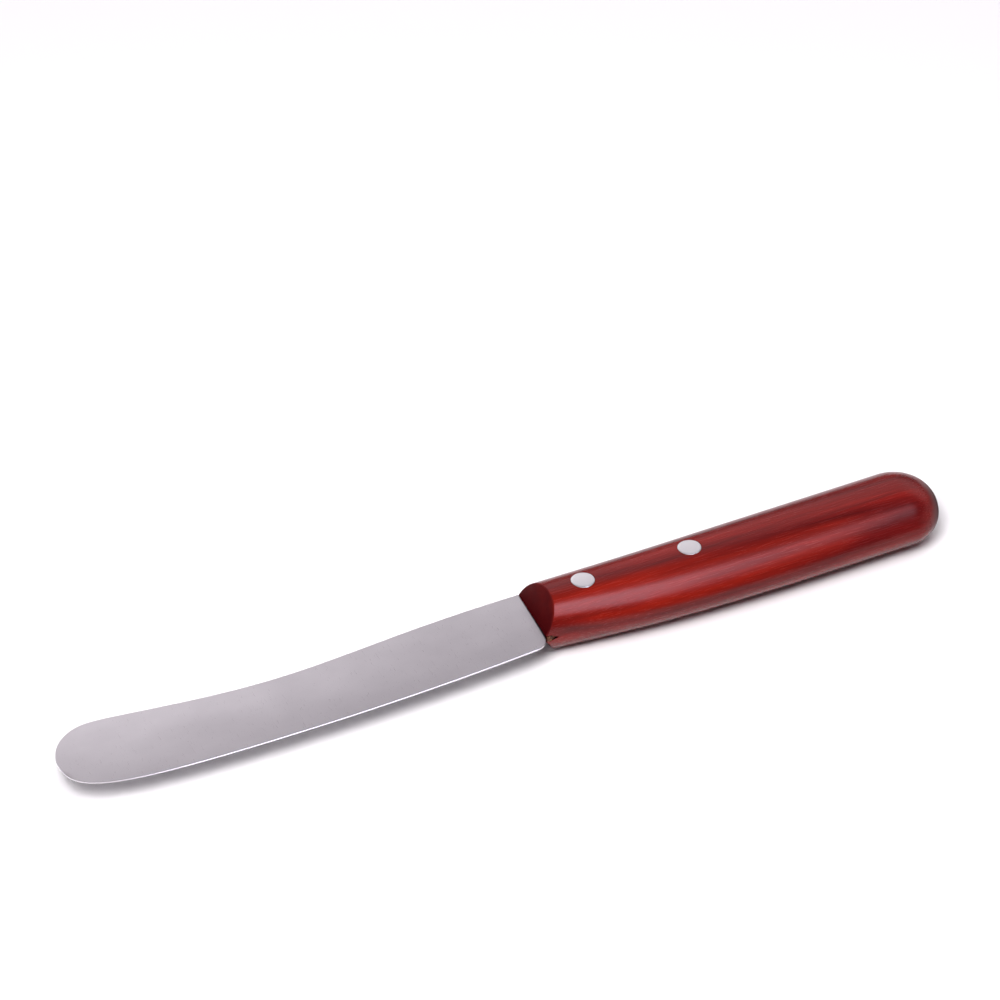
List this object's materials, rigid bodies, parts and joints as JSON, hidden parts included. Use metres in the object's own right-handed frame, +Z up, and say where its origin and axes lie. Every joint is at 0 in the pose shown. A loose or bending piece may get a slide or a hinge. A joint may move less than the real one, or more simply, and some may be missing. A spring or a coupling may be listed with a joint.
{
  "type": "breakfast knife",
  "caption": "Table knife for spreading and slicing: broad round-tipped steel blade with a waisted back, its tang riveted into a slotted one-piece wooden handle.",
  "frame": {"origin": "on the table under the middle of the knife's box, with the knife lying on its side", "axes": "+X from the tip to the butt, +Y from the cutting edge to the back, +Z up, square to the blade's middle plane"},
  "size_m": [0.221, 0.0234, 0.014],
  "materials": {
    "blade_steel": "fine satin, brushed along the blade",
    "handle_wood": "oiled reddish-brown fruit wood, satin sheen",
    "rivet_metal": "ground flush with the wood",
    "filler": "matt wood filler"
  },
  "bodies": {
    "root": {"blade": "blade_steel", "handle": "handle_wood", "front_rivet_sleeve": "rivet_metal", "front_rivet_pin": "rivet_metal", "rear_rivet_sleeve": "rivet_metal", "rear_rivet_pin": "rivet_metal", "slot_filler": "filler"}
  },
  "joints": []
}
